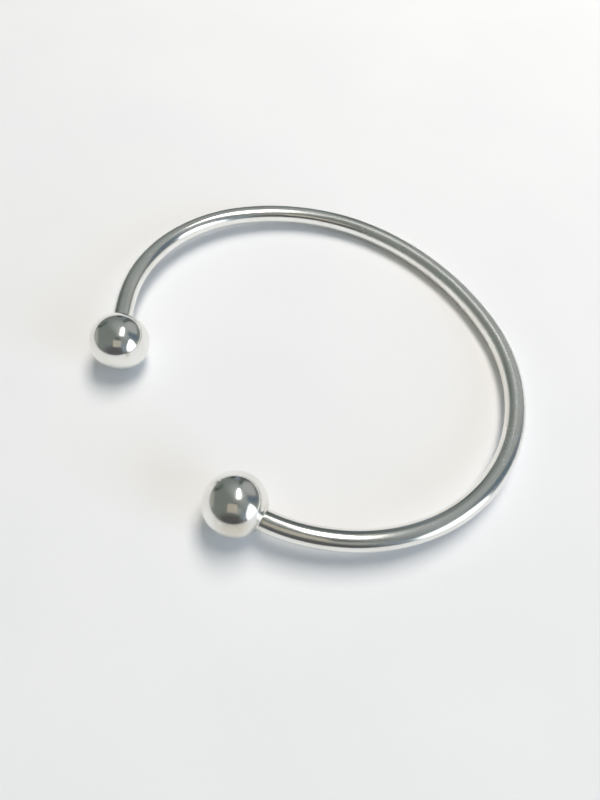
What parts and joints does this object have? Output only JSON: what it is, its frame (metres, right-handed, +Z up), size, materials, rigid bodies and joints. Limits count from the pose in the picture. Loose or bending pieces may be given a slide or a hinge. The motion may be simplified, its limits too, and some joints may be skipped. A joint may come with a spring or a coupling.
{
  "type": "open ball-ended wire bangle",
  "caption": "Open oval bangle bent from round wire, with a soldered ball on each end. It slips on over the wrist's side and lies flat on a surface.",
  "frame": {"origin": "centre of the resting bangle's box, on the surface that it rests on", "axes": "+X from the left ball to the right ball, +Y from the opening to the back, +Z up from the surface"},
  "size_m": [0.0706, 0.0602, 0.009],
  "materials": {
    "polished_silver": "hand polished, fine wear scratches"
  },
  "bodies": {
    "root": {"bangle": "polished_silver"}
  },
  "joints": []
}
